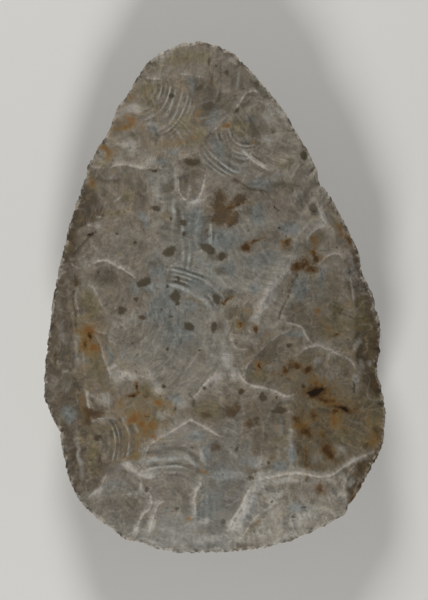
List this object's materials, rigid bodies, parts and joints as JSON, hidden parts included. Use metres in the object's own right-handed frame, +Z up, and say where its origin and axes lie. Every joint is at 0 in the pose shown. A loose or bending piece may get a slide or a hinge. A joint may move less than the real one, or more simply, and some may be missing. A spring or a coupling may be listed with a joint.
{
  "type": "stone hand axe",
  "caption": "Egg-shaped flint hand axe with a pointed tip and rounded butt, flaked on both faces to a thin winding edge all round, lying on its belly.",
  "frame": {"origin": "middle of the outline, on the plane that the axe lies on", "axes": "+Y along the axe towards its tip, +X across it, +Z up through the flaked upper face"},
  "size_m": [0.0998, 0.1499, 0.0358],
  "materials": {
    "flint": "weathered grey flint with a dull patina, brown iron stains and pale worn ridges"
  },
  "bodies": {
    "root": {"hand_axe": "flint"}
  },
  "joints": []
}
